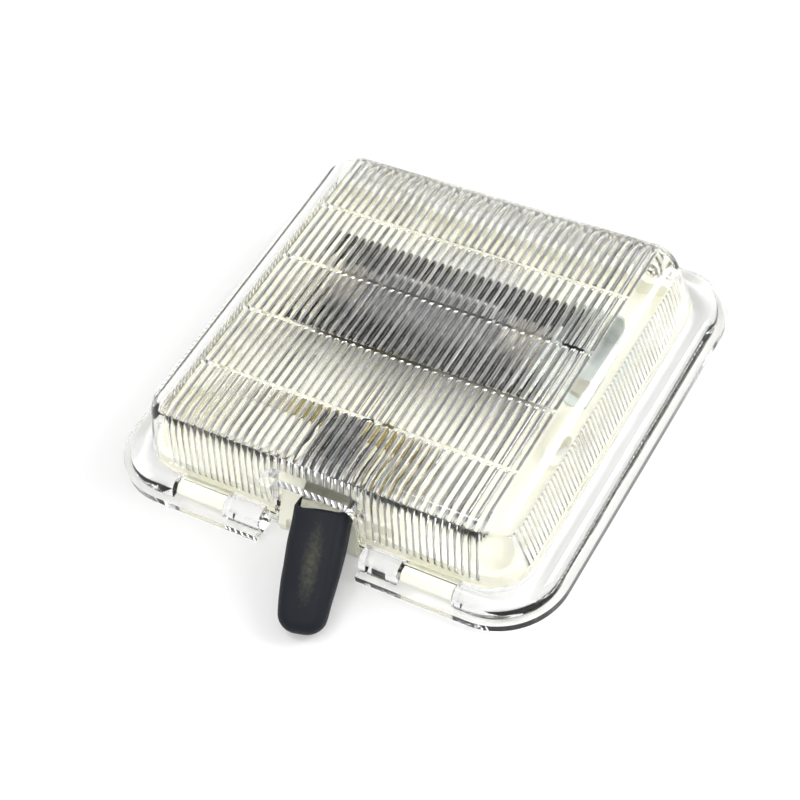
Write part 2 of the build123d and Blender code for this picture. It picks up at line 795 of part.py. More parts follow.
# Lever stem: a flat strip gripped by the rotor, which leaves through the notch and bends down
with BuildPart() as lever_stem:
    half = stem_thickness / 2
    bend_shift = half * tan(droop / 2)
    end_x = -stem_bend - stem_tongue * cos(droop)
    end_z = stem_mid - stem_tongue * sin(droop)
    with BuildSketch(lever_side()):
        with BuildLine():
            Polyline(
                (stem_tail, stem_mid + half),
                (-stem_bend - bend_shift, stem_mid + half),
                (end_x - half * sin(droop), end_z + half * cos(droop)),
                (end_x + half * sin(droop), end_z - half * cos(droop)),
                (-stem_bend + bend_shift, stem_mid - half),
                (stem_tail, stem_mid - half),
                close=True,
            )
        make_face()
    extrude(amount=stem_width / 2, both=True)
    with BuildSketch(lever_level(stem_bottom)):
        draw_rivet_holes(stem_rivet_places)
    extrude(amount=stem_thickness, mode=Mode.SUBTRACT)
finish(lever_stem, "lever_stem")

# Lever sleeve: a soft flat cover pushed over the stem, with a rounded tip and a slanted, cupped mouth
with BuildPart() as lever_sleeve:
    half_mouth = sleeve_mouth_thickness / 2
    half_end = sleeve_end_thickness / 2
    lip = half_mouth * tan(radians(sleeve_slant))
    tip = sleeve_start + sleeve_length
    with BuildSketch(tongue_plan()) as outline:
        with BuildLine():
            Polyline(
                (-sleeve_mouth_width / 2, lip - sleeve_start),
                (-sleeve_mid_width / 2, -sleeve_start - sleeve_mid),
                (-sleeve_end_width / 2, -tip),
                (sleeve_end_width / 2, -tip),
                (sleeve_mid_width / 2, -sleeve_start - sleeve_mid),
                (sleeve_mouth_width / 2, lip - sleeve_start),
                close=True,
            )
        make_face()
        fillet(outline.vertices().group_by(Axis.Y)[0], sleeve_end_radius)
        fillet(outline.vertices().group_by(Axis.Y)[-2], sleeve_side_radius)
    extrude(amount=half_mouth, both=True)
    with BuildSketch(tongue_side()):
        with BuildLine():
            Polyline(
                (-sleeve_start - lip, half_mouth),
                (-sleeve_start + lip, -half_mouth),
                (-tip, -half_end),
                (-tip, half_end),
                close=True,
            )
        make_face()
    extrude(amount=sleeve_mouth_width, both=True, mode=Mode.INTERSECT)
    along = Axis(lever_section(0).origin, lever_section(0).z_dir)
    mouth = lever_sleeve.faces().sort_by(along)[0]
    upright = lever_sleeve.edges().filter_by(Axis((0, 0, 0), tongue_plan().z_dir))
    fillet(lever_sleeve.edges() - mouth.edges() - upright, sleeve_edge_radius)
    with BuildSketch(lever_section(sleeve_start - lip)):
        Rectangle(stem_width + 2 * sleeve_gap, stem_thickness + 2 * sleeve_gap)
    extrude(amount=stem_tongue - sleeve_start + lip + sleeve_gap, mode=Mode.SUBTRACT)
    with BuildSketch(lever_section(sleeve_start - lip)):
        SlotOverall(sleeve_cup_width, sleeve_cup_thickness)
    extrude(amount=lip + sleeve_cup_depth, mode=Mode.SUBTRACT)
finish(lever_sleeve, "lever_sleeve")

# Wiper: a springy strip under the rotor's tail that slides over the contacts
with BuildPart() as wiper:
    pad_bottom = sheet_z + wiper_gap
    seat_start = spacer_radius + rotor_gap
    seat_end = seat_start + wiper_seat
    pad_start = seat_end + wiper_drop
    pad_end = pad_start + wiper_pad
    with BuildSketch(lever_side()):
        with BuildLine():
            Polyline(
                (seat_start, rotor_bottom),
                (seat_end + wiper_sheet, rotor_bottom),
                (pad_start + wiper_sheet, pad_bottom + wiper_sheet),
                (pad_end, pad_bottom + wiper_sheet),
                (pad_end, pad_bottom),
                (pad_start, pad_bottom),
                (seat_end, rotor_bottom - wiper_sheet),
                (seat_start, rotor_bottom - wiper_sheet),
                close=True,
            )
        make_face()
    extrude(amount=wiper_width / 2, both=True)
    with BuildSketch(lever_level(rotor_bottom - wiper_sheet)):
        draw_rivet_holes(wiper_rivet_places)
    extrude(amount=wiper_sheet, mode=Mode.SUBTRACT)
finish(wiper, "wiper")

# Rivets that clamp the stem and the wiper to the rotor
with BuildPart() as rotor_rivets:
    for places, bottom in (
        (wiper_rivet_places, rotor_bottom - wiper_sheet),
        (stem_rivet_places, rotor_bottom),
    ):
        with BuildSketch(lever_level(bottom - rotor_rivet_head)):
            with Locations(*places):
                Circle(rotor_rivet_radius)
        extrude(amount=rotor_top - bottom + 2 * rotor_rivet_head)
        for level in (bottom - rotor_rivet_head, rotor_top):
            with BuildSketch(lever_level(level)):
                with Locations(*places):
                    Circle(rotor_rivet_head_radius)
            extrude(amount=rotor_rivet_head)
finish(rotor_rivets, "rotor_rivets")
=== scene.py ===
"""Looks of the car dome light: lens, finishes, soft sleeve, filament coil, studio and camera."""

import logging
import math
from dataclasses import dataclass
from enum import Enum
from typing import Any

import bmesh
import bpy
import numpy as np
from mathutils import Matrix, Vector, noise


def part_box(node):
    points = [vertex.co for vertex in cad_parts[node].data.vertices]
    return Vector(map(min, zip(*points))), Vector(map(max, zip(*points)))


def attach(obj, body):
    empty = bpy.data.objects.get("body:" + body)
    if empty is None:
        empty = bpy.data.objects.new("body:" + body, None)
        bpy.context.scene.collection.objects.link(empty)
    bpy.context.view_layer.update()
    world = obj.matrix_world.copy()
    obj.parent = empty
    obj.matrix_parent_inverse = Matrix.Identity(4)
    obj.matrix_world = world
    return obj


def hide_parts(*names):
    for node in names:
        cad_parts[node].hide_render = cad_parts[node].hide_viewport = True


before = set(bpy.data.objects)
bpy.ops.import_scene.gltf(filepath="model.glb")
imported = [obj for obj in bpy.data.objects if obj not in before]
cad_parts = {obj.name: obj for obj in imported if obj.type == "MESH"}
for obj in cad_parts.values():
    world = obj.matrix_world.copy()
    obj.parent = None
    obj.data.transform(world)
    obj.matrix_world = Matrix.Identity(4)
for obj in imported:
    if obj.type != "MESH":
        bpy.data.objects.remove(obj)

MM = 0.001
# Distance within which two points count as the same height, in metres
TOUCH = 1e-6
# Parts of a noise pattern's range that are spread over a whole change of tone, of gloss, or to the second
# tone of a worn, darkened or painted-highlight place
PATCH_RANGE = (0.35, 0.7)
GRAIN_RANGE = (0.3, 0.7)
SECOND_TONE_RANGE = (0.12, 0.42)
# How far red, green and blue light soaks into a plastic, against its depth in millimetres
SOAK_SPREAD = (1.0, 0.9, 0.6)
SOAK_DEPTH_MM = 1.5
log = logging.getLogger("dome_light")


def linear(colour: str) -> tuple[float, float, float, float]:
    """Turn an sRGB hex colour into linear values.

    Args:
        colour: The colour as #RRGGBB.

    Returns:
        Linear red, green and blue, with an alpha of 1.
    """
    channels = [int(colour[i : i + 2], 16) / 255 for i in (1, 3, 5)]
    red, green, blue = (c / 12.92 if c <= 0.04045 else ((c + 0.055) / 1.055) ** 2.4 for c in channels)
    return red, green, blue, 1.0


def add_node(
    tree: bpy.types.NodeTree,
    kind: str,
    settings: dict[str, Any] | None = None,
    values: dict[str | int, Any] | None = None,
    links: dict[str | int, bpy.types.NodeSocket] | None = None,
) -> bpy.types.Node:
    """Add a shader node with its settings, socket values and incoming links.

    Args:
        tree: The node tree that takes the node.
        kind: The node's type name.
        settings: Properties of the node.
        values: Constant values of its input sockets, by socket name or number.
        links: Sockets that feed its inputs, by input name or number.

    Returns:
        The new node.
    """
    node = tree.nodes.new(kind)
    for name, value in (settings or {}).items():
        setattr(node, name, value)
    for name, value in (values or {}).items():
        node.inputs[name].default_value = value
    for name, source in (links or {}).items():
        tree.links.new(source, node.inputs[name])
    return node


class Grain(Enum):
    """Which way a surface pattern runs, as its stretch along X, Y and Z."""

    EVEN = (1.0, 1.0, 1.0)
    ALONG_X = (0.04, 1.0, 1.0)
    ALONG_Y = (1.0, 0.04, 1.0)


@dataclass(frozen=True)
class SecondTonePlace:
    """Where a surface turns to its second tone: real wear on the brass, a painted highlight with dust on the
    vinyl sleeve, a darkening towards one end on the tinplate.

    Attributes:
        centre_mm: Middle of the place.
        inner_mm: Distance from it within which the first tone is gone.
        outer_mm: Distance from it past which the first tone is whole.
        stretch: How much longer the place is along X, Y and Z.
        turn: Its turn about Z in degrees.
    """

    centre_mm: tuple[float, float, float]
    inner_mm: float
    outer_mm: float
    stretch: tuple[float, float, float] = (1.0, 1.0, 1.0)
    turn: float = 0.0

    def add(
        self, tree: bpy.types.NodeTree, place: bpy.types.NodeSocket, patches: bpy.types.NodeSocket
    ) -> bpy.types.NodeSocket:
        """Add the nodes that measure how far the second tone takes over.

        Args:
            tree: The material's node tree.
            place: Place on the object in metres.
            patches: Noise that breaks up the worn edge.

        Returns:
            A socket that is 1 where the first tone is gone.
        """
        local = add_node(
            tree,
            "ShaderNodeMapping",
            {"vector_type": "TEXTURE"},
            {
                "Location": [c * MM for c in self.centre_mm],
                "Rotation": (0.0, 0.0, math.radians(self.turn)),
                "Scale": self.stretch,
            },
            {"Vector": place},
        )
        away = add_node(
            tree, "ShaderNodeVectorMath", {"operation": "LENGTH"}, links={0: local.outputs["Vector"]}
        )
        # Nearness to the centre: on the vinyl sleeve this lays a painted highlight with dust
        near_centre = add_node(
            tree,
            "ShaderNodeMapRange",
            values={"From Min": self.outer_mm * MM, "From Max": self.inner_mm * MM},
            links={"Value": away.outputs["Value"]},
        )
        broken = add_node(
            tree,
            "ShaderNodeMath",
            {"operation": "MULTIPLY", "use_clamp": True},
            links={0: near_centre.outputs["Result"], 1: patches},
        )
        return add_node(
            tree,
            "ShaderNodeMapRange",
            values={"From Min": SECOND_TONE_RANGE[0], "From Max": SECOND_TONE_RANGE[1]},
            links={"Value": broken.outputs[0]},
        ).outputs["Result"]


@dataclass(frozen=True)
class Finish:
    """An opaque material: two tones that mottle, a band of roughness and a fine grain.

    Attributes:
        name: Common name of the material and how it was made.
        tone: Main colour.
        shade: Second colour, of the patches and of the place that second_tone_place marks.
        smooth: Lowest roughness.
        rough: Highest roughness.
        metallic: 1 for a metal.
        ior: Index of refraction, or None to keep the shader's own.
        mottle_mm: Size of the patches.
        grain_mm: Spacing of the grain.
        grain_depth_mm: Height of the grain.
        grain: Which way the grain runs.
        glow: Share of light that soaks in.
        specular: Strength of the mirror-like part, 0.5 for a clean surface.
        second_tone_place: Where the main colour gives way to the shade, or None; by finish it marks real
            wear, a painted highlight with dust, and a darkening towards one end.
    """

    name: str
    tone: str
    shade: str
    smooth: float
    rough: float
    metallic: float = 0.0
    ior: float | None = None
    mottle_mm: float = 8.0
    grain_mm: float = 0.3
    grain_depth_mm: float = 0.01
    grain: Grain = Grain.EVEN
    glow: float = 0.0
    specular: float = 0.5
    second_tone_place: SecondTonePlace | None = None

    def build(self) -> bpy.types.Material:
        """Make the material.

        Returns:
            The material, with its node tree.
        """
        material = bpy.data.materials.new(self.name)
        material.use_nodes = True
        tree = material.node_tree
        shader = tree.nodes["Principled BSDF"]
        place = add_node(tree, "ShaderNodeTexCoord").outputs["Object"]
        patches = add_node(
            tree,
            "ShaderNodeTexNoise",
            values={"Scale": 1 / (self.mottle_mm * MM), "Detail": 4.0, "Roughness": 0.6},
            links={"Vector": place},
        ).outputs["Fac"]
        run = add_node(tree, "ShaderNodeMapping", values={"Scale": self.grain.value}, links={"Vector": place})
        grain = add_node(
            tree,
            "ShaderNodeTexNoise",
            values={"Scale": 1 / (self.grain_mm * MM), "Detail": 3.0},
            links={"Vector": run.outputs["Vector"]},
        ).outputs["Fac"]
        spread = add_node(
            tree,
            "ShaderNodeMapRange",
            values={"From Min": PATCH_RANGE[0], "From Max": PATCH_RANGE[1]},
            links={"Value": patches},
        ).outputs["Result"]
        if self.second_tone_place is not None:
            spread = self.second_tone_place.add(tree, place, patches)
        colour = add_node(
            tree,
            "ShaderNodeMix",
            {"data_type": "RGBA"},
            {6: linear(self.tone), 7: linear(self.shade)},
            {0: spread},
        )
        gloss = add_node(
            tree,
            "ShaderNodeMapRange",
            values={
                "From Min": GRAIN_RANGE[0],
                "From Max": GRAIN_RANGE[1],
                "To Min": self.smooth,
                "To Max": self.rough,
            },
            links={"Value": grain},
        )
        bump = add_node(
            tree,
            "ShaderNodeBump",
            values={"Strength": 1.0, "Distance": self.grain_depth_mm * MM},
            links={"Height": grain},
        )
        tree.links.new(colour.outputs[2], shader.inputs["Base Color"])
        tree.links.new(gloss.outputs["Result"], shader.inputs["Roughness"])
        tree.links.new(bump.outputs["Normal"], shader.inputs["Normal"])
        shader.inputs["Metallic"].default_value = self.metallic
        shader.inputs["Specular IOR Level"].default_value = self.specular
        if self.ior is not None:
            shader.inputs["IOR"].default_value = self.ior
        if self.glow:
            shader.inputs["Subsurface Weight"].default_value = self.glow
            shader.inputs["Subsurface Radius"].default_value = SOAK_SPREAD
            shader.inputs["Subsurface Scale"].default_value = SOAK_DEPTH_MM * MM
        return material


@dataclass(frozen=True)
class ClearFinish:
    """A clear material: a faint tint, a little roughness and a slow ripple.

    Attributes:
        name: Common name of the material and how it was made.
        tone: Tint.
        ior: Index of refraction.
        roughness: Roughness of the surface.
        ripple_mm: Length of the ripple.
        ripple_depth_mm: Height of the ripple.
    """

    name: str
    tone: str
    ior: float
    roughness: float
    ripple_mm: float
    ripple_depth_mm: float

    def build(self) -> bpy.types.Material:
        """Make the material.

        Returns:
            The material, with its node tree.
        """
        material = bpy.data.materials.new(self.name)
        material.use_nodes = True
        tree = material.node_tree
        shader = tree.nodes["Principled BSDF"]
        place = add_node(tree, "ShaderNodeTexCoord").outputs["Object"]
        ripple = add_node(
            tree,
            "ShaderNodeTexNoise",
            values={"Scale": 1 / (self.ripple_mm * MM), "Detail": 2.0},
            links={"Vector": place},
        )
        bump = add_node(
            tree,
            "ShaderNodeBump",
            values={"Strength": 1.0, "Distance": self.ripple_depth_mm * MM},
            links={"Height": ripple.outputs["Fac"]},
        )
        tree.links.new(bump.outputs["Normal"], shader.inputs["Normal"])
        shader.inputs["Base Color"].default_value = linear(self.tone)
        shader.inputs["Roughness"].default_value = self.roughness
        shader.inputs["IOR"].default_value = self.ior
        shader.inputs["Transmission Weight"].default_value = 1.0
        return material


# Clear acrylic, injection moulded: polished outside, so the ribs inside draw thin dark lines on white
CLEAR_ACRYLIC = ClearFinish("clear_acrylic", "#FFFFFE", 1.49, 0.01, 9.0, 0.004)
# Drawn glass of the bulb: thin, almost invisible but for its edges
BULB_GLASS = ClearFinish("drawn_glass", "#FCFDFD", 1.51, 0.0, 7.0, 0.01)
# Moulded ABS gone slightly cream: satin, lets a little light soak in
CREAM_ABS = Finish(
    "moulded_cream_abs", "#F8F7EA", "#F1F0DE", 0.36, 0.5, ior=1.53,
    grain_mm=0.25, grain_depth_mm=0.006, glow=0.15,
)
# Tinplate, folded: grey at its left end, darkening to near black at its right
DARKENING_TINPLATE = Finish(
    "darkening_tinplate", "#45453F", "#0B0B0A", 0.42, 0.65, metallic=0.6,
    mottle_mm=5.0, grain_mm=0.35, grain=Grain.ALONG_X,
    second_tone_place=SecondTonePlace((10.0, 7.5, 3.0), 14.0, 44.0),
)
# Nickel plated brass: pale warm metal of the bulb's caps
SATIN_NICKEL = Finish(
    "satin_nickel", "#B4B0A6", "#8E897E", 0.22, 0.36, metallic=1.0, mottle_mm=3.0, grain_mm=0.2
)
# Tungsten wire: dull grey
TUNGSTEN = Finish(
    "drawn_tungsten", "#5B5B5E", "#3F3F44", 0.35, 0.5, metallic=1.0, mottle_mm=1.0, grain_mm=0.1
)
# Rolled brass sheet, stamped and tinned: pale, and rubbed through to olive brass round the pivot
TINNED_BRASS = Finish(
    "tinned_brass", "#E2DFD2", "#8A7D45", 0.25, 0.42, metallic=1.0,
    mottle_mm=4.0, grain_mm=0.3, grain=Grain.ALONG_X,
    second_tone_place=SecondTonePlace((0.0, -18.0, 2.0), 9.0, 16.0),
)
# Zinc plated spring steel, passivated: pale with a cold blue-green cast
BLUE_ZINC = Finish(
    "blue_zinc_plated_steel", "#E4E8E5", "#C9D1CE", 0.45, 0.6, metallic=0.4, mottle_mm=3.0, grain_mm=0.25
)
# Blued spring steel: near black with a cold cast, oiled
BLUED_STEEL = Finish(
    "blued_steel", "#2C3438", "#191C1F", 0.25, 0.4, metallic=1.0, mottle_mm=3.0, grain_mm=0.2
)
# Black phenolic, moulded: deep black with a dull sheen
BLACK_PHENOLIC = Finish(
    "moulded_black_phenolic", "#141414", "#0B0B0B", 0.35, 0.5, ior=1.6, mottle_mm=2.0, grain_mm=0.2
)
# Zinc plated strip: pale grey with an olive cast
ZINC_STEEL = Finish(
    "zinc_plated_strip", "#9B9A8C", "#7F7E71", 0.35, 0.5, metallic=0.6, mottle_mm=2.5, grain_mm=0.25,
    grain=Grain.ALONG_Y,
)
# Soft vinyl, dipped: blue-black satin with a fine uneven skin; along its middle a dusty olive grey is
# painted, partly dust and partly a painted highlight of the light on its crown
BLACK_VINYL = Finish(
    "dipped_black_vinyl", "#1C1E24", "#414239", 0.38, 0.55, ior=1.53,
    mottle_mm=0.7, grain_mm=0.4, grain_depth_mm=0.03, specular=0.12,
    # Painted highlight mixed with dust: the olive grey shade is laid along the sleeve's crowned middle, where
    # the light would shine on it
    second_tone_place=SecondTonePlace((4.8, -41.0, 6.0), 0.0, 2.4, (1.0, 4.5, 3.0), 14.4),
)


def new_piece(name: str, mesh: bpy.types.Mesh, body: str, slot: str, *stands_for: str) -> bpy.types.Object:
    """Put a mesh in the scene as a piece of the lamp.

    Args:
        name: Name of the piece.
        mesh: Its mesh, in metres in the frame.
        body: The body that it rides on.
        slot: The record's material slot; not used.
        stands_for: Nodes that the piece replaces.

    Returns:
        The new object.
    """
    piece = bpy.data.objects.new(name, mesh)
    bpy.context.scene.collection.objects.link(piece)
    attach(piece, body)
    if stands_for:
        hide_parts(*stands_for)
    return piece


def dress(piece: bpy.types.Object, material: bpy.types.Material) -> None:
    """Give a piece one material.

    Args:
        piece: The object to dress.
        material: Its finish.
    """
    piece.data.materials.clear()
    piece.data.materials.append(material)
    log.info("%s dressed in %s", piece.name, material.name)


@dataclass
class Housing:
    """The clear lens and the cream tray.

    Attributes:
        rib_level_mm: Height of the crests of the ribs under the lens's top.
        valley_mm: Depth of the valleys between them in the solid.
        deep_mm: Their depth in the dressed lens.
        field_mm: Half width and half depth of the field of ribs.
        pitch_mm: Distance between the ribs.
        uneven: Share by which the mould's valleys differ in depth.
        mould_seed: Seed of those differences.
        foot_mm: Heights between which the inside of the walls' foot stands upright in the solid.
        foot_inside_mm: Half width and half depth within which that foot lies.
        draft: Slope of the walls in degrees, which the foot takes on too.
        level_share: Vertical part of a face's normal below which the face counts as upright.
    """

    rib_level_mm: float = 12.85
    valley_mm: float = 0.35
    deep_mm: float = 0.6
    field_mm: tuple[float, float] = (28.6, 30.4)
    pitch_mm: float = 1.5
    uneven: float = 0.15
    mould_seed: int = 7
    foot_mm: tuple[float, float] = (1.9, 3.9)
    foot_inside_mm: tuple[float, float] = (34.0, 32.3)
    draft: float = 12.0
    level_share: float = 0.01

    def deepen_ribs(self, mesh: bpy.types.Mesh, points: np.ndarray, normals: np.ndarray) -> None:
        """Deepen the valleys between the ribs of the lens's top, each a little differently.

        Args:
            mesh: The lens's mesh.
            points: Its points, which are changed.
            normals: Its corners' normals, which are changed.
        """
        inside = (np.abs(points[:, :2]) < np.array(self.field_mm) * MM).all(axis=1)
        rise = points[:, 2] - self.rib_level_mm * MM
        valley = inside & (rise > TOUCH) & (rise < self.valley_mm * MM + TOUCH)
        number = np.floor(points[:, 0] / (self.pitch_mm * MM)).astype(int)
        draw = np.random.default_rng(self.mould_seed)
        shares = draw.uniform(1.0 - self.uneven, 1.0 + self.uneven, np.ptp(number) + 1)
        stretch = np.where(valley, self.deep_mm / self.valley_mm * shares[number - number.min()], 1.0)
        points[:, 2] += rise * (stretch - 1.0)
        normals[:, :2] *= stretch[[loop.vertex_index for loop in mesh.loops], None]
        normals /= np.linalg.norm(normals, axis=1, keepdims=True)
        log.info("%d points of the lens's valleys deepened", int(valley.sum()))

    @staticmethod
    def place_key(point: np.ndarray) -> tuple[int, ...]:
        """Give one key to the points of all faces that meet at a place."""
        return tuple((point / TOUCH).round().astype(int))

    def draft_foot(self, mesh: bpy.types.Mesh, points: np.ndarray, normals: np.ndarray) -> None:
        """Slope the inside of the walls' foot like the walls, so that it traps no light.

        Args:
            mesh: The lens's mesh.
            points: Its points, which are changed.
            normals: Its corners' normals, which are changed.
        """
        low, high = (z * MM for z in self.foot_mm)
        half_width, half_depth = (half * MM for half in self.foot_inside_mm)
        slope = math.radians(self.draft)
        moves: dict[tuple[int, ...], np.ndarray] = {}
        for face in mesh.polygons:
            heights = points[list(face.vertices), 2]
            between = heights.min() > low - TOUCH and heights.max() < high + TOUCH
            upright = abs(face.normal.z) < self.level_share
            within = abs(face.center.x) < half_width and abs(face.center.y) < half_depth
            if not (between and upright and within) or face.normal.xy.dot(face.center.xy) > 0:
                continue
            for corner, vertex in zip(face.loop_indices, face.vertices):
                inward = normals[corner].copy()
                normals[corner] = inward * math.cos(slope) - np.array((0.0, 0.0, math.sin(slope)))
                moves[self.place_key(points[vertex])] = -inward * (high - points[vertex, 2]) * math.tan(slope)
        for point in points:
            point += moves.get(self.place_key(point), 0.0)
        log.info("%d points of the lens's foot sloped", len(moves))

    def ribbed_mesh(self) -> bpy.types.Mesh:
        """Copy the lens, deepen its ribs and slope its foot.

        Returns:
            The lens's mesh, with its normals turned to match.
        """
        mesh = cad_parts["lens"].data.copy()
        points = np.array([vertex.co for vertex in mesh.vertices])
        normals = np.array([corner.vector for corner in mesh.corner_normals])
        self.draft_foot(mesh, points, normals)
        self.deepen_ribs(mesh, points, normals)
        mesh.vertices.foreach_set("co", points.ravel())
        mesh.normals_split_custom_set(normals.tolist())
        mesh.update()
        return mesh

    def build(self) -> None:
        """Make the lens and dress it and the tray."""
        lens = new_piece("ribbed_lens", self.ribbed_mesh(), "housing", "clear_acrylic", "lens")
        dress(lens, CLEAR_ACRYLIC.build())
        dress(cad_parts["base_tray"], CREAM_ABS.build())


@dataclass
class Bulb:
    """The festoon bulb with its coiled filament and its reflector.

    Attributes:
        wire_mm: Thickness of the filament's wire.
        turn_mm: Distance between its turns.
        coil_share: Share of the filament's length that is coiled.
        turn_points: Points round one turn.
        wire_sides: Sides of the wire.
    """

    wire_mm: float = 0.16
    turn_mm: float = 0.3
    coil_share: float = 0.5
    turn_points: int = 12
    wire_sides: int = 6

    def coil_line(self) -> list[Vector]:
        """Work out the wire's middle line from the node that it replaces.

        Returns:
            Points from one lead through the coil to the other lead.
        """
        low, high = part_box("filament")
        middle = (low + high) / 2
        half = (high.x - low.x) / 2
        radius = (high.z - low.z) / 2 - self.wire_mm * MM / 2
        coil_half = half * self.coil_share
        turns = round(2 * coil_half / (self.turn_mm * MM))
        count = turns * self.turn_points
        line = [Vector((low.x, middle.y, middle.z))]
        for i in range(count + 1):
            angle = math.tau * i / self.turn_points
            x = middle.x - coil_half + 2 * coil_half * i / count
            line.append(Vector((x, middle.y + radius * math.cos(angle), middle.z + radius * math.sin(angle))))
        line.append(Vector((high.x, middle.y, middle.z)))
        return line

    def coil_mesh(self) -> bpy.types.Mesh:
        """Sweep the wire along its line.

        Returns:
            The wire as a closed tube.
        """
        line = self.coil_line()
        shape = bmesh.new()
        rings = []
        for i, point in enumerate(line):
            ahead = line[min(i + 1, len(line) - 1)] - line[max(i - 1, 0)]
            turn = ahead.to_track_quat("Z", "Y").to_matrix()
            ring = []
            for k in range(self.wire_sides):
                angle = math.tau * k / self.wire_sides
                offset = Vector((math.cos(angle), math.sin(angle), 0)) * (self.wire_mm * MM / 2)
                ring.append(shape.verts.new(point + turn @ offset))
            rings.append(ring)
        for first, second in zip(rings, rings[1:]):
            for k in range(self.wire_sides):
                after = (k + 1) % self.wire_sides
                face = shape.faces.new((first[k], first[after], second[after], second[k]))
                face.smooth = True
        shape.faces.new(reversed(rings[0]))
        shape.faces.new(rings[-1])
        mesh = bpy.data.meshes.new("filament_coil")
        shape.to_mesh(mesh)
        shape.free()
        return mesh

    def build(self) -> None:
        """Make the coil and dress the bulb and its reflector."""
        coil = new_piece("filament_coil", self.coil_mesh(), "housing", "tungsten", "filament")
        dress(coil, TUNGSTEN.build())
        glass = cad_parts["bulb_glass"]
        dress(glass, BULB_GLASS.build())
        nickel = SATIN_NICKEL.build()
        for name in ("bulb_cap_left", "bulb_cap_right"):
            dress(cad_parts[name], nickel)
        dress(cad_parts["reflector"], DARKENING_TINPLATE.build())


@dataclass
class SwitchWorks:
    """The brass stampings, the rivets and what the lever turns on."""

    brass_nodes: tuple[str, ...] = (
        "clip_left", "contact_left", "contact_right", "tray_rivets", "pivot_spacer", "wiper"
    )
    steel_nodes: tuple[str, ...] = ("pivot_pin", "pivot_washer", "rotor_rivets")
    zinc_nodes: tuple[str, ...] = ("clip_right",)

    def build(self) -> None:
        """Dress the metal parts and the rotor."""
        for finish, names in (
            (TINNED_BRASS, self.brass_nodes), (BLUED_STEEL, self.steel_nodes), (BLUE_ZINC, self.zinc_nodes)
        ):
            material = finish.build()
            for name in names:
                dress(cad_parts[name], material)
        dress(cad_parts["switch_rotor"], BLACK_PHENOLIC.build())


@dataclass
class Lever:
    """The pale stem and the soft black sleeve on it.

    Attributes:
        voxel_mm: Size of the sleeve's fine mesh.
        swell_mm: How far the soft skin waves.
        wave_mm: Length of those waves.
        crown_mm: How far the sleeve's top swells along its middle.
        mouth_share: Share of its length from the mouth over which the crown rises.
        relax_share: How far each round of smoothing moves a point.
        relax_rounds: Rounds of smoothing.
    """

    voxel_mm: float = 0.18
    swell_mm: float = 0.2
    wave_mm: float = 5.0
    crown_mm: float = 0.8
    mouth_share: float = 0.4
    relax_share: float = 0.5
    relax_rounds: int = 16

    def soft_mesh(self) -> bpy.types.Mesh:
        """Copy the sleeve's solid, mesh it finely and let its skin wave.

        Returns:
            The sleeve's mesh.
        """
        copy = bpy.data.objects.new("sleeve_form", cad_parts["lever_sleeve"].data.copy())
        bpy.context.scene.collection.objects.link(copy)
        remesh = copy.modifiers.new("fine", "REMESH")
        remesh.mode = "VOXEL"
        remesh.voxel_size = self.voxel_mm * MM
        relax = copy.modifiers.new("relax", "SMOOTH")
        relax.factor = self.relax_share
        relax.iterations = self.relax_rounds
        evaluated = copy.evaluated_get(bpy.context.evaluated_depsgraph_get())
        mesh = bpy.data.meshes.new_from_object(evaluated)
        bpy.data.objects.remove(copy)
        self.swell(mesh)
        mesh.shade_smooth()
        return mesh

    def swell(self, mesh: bpy.types.Mesh) -> None:
        """Crown the sleeve's top and let its skin wave.

        Args:
            mesh: The sleeve's fine mesh, which is changed.
        """
        points = np.array([vertex.co for vertex in mesh.vertices])
        normals = np.array([vertex.normal for vertex in mesh.vertices])
        centred = points - points.mean(axis=0)
        _, directions = np.linalg.eigh(centred.T @ centred)
        up, across, along = directions.T
        up = up * math.copysign(1.0, up[2])
        lengths = centred @ along * math.copysign(1.0, -along[1])
        sides = centred @ across
        reach = (lengths - lengths.min()) / np.ptp(lengths)
        rise = np.minimum(1.0, np.minimum(reach, 1.0 - reach) / self.mouth_share)
        crown = self.crown_mm * (1.0 - (sides / np.abs(sides).max()) ** 2) * np.sin(rise * math.pi / 2)
        facing = np.clip(normals @ up, 0.0, None)
        waves = np.array([noise.noise(Vector(point) / (self.wave_mm * MM)) for point in points])
        points += normals * (waves * self.swell_mm * MM)[:, None] + np.outer(crown * facing * MM, up)
        mesh.vertices.foreach_set("co", points.ravel())
        mesh.update()

    def build(self) -> None:
        """Make the sleeve and dress the lever."""
        sleeve = new_piece("soft_sleeve", self.soft_mesh(), "lever", "black_vinyl", "lever_sleeve")
        dress(sleeve, BLACK_VINYL.build())
        dress(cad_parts["lever_stem"], ZINC_STEEL.build())


@dataclass(frozen=True)
class SoftLight:
    """A square soft light that faces the lamp.

    Attributes:
        name: Name of the light.
        place_mm: Where it hangs.
        side_mm: Its side.
        watts: Its power.
    """

    name: str
    place_mm: tuple[float, float, float]
    side_mm: float
    watts: float

    def hang(self) -> None:
        """Put the light in the scene."""
        data = bpy.data.lights.new(self.name, "AREA")
        data.shape = "SQUARE"
        data.size = self.side_mm * MM
        data.energy = self.watts
        light = bpy.data.objects.new(self.name, data)
        bpy.context.scene.collection.objects.link(light)
        light.location = Vector(self.place_mm) * MM
        light.rotation_euler = (-light.location).to_track_quat("-Z", "Y").to_euler()


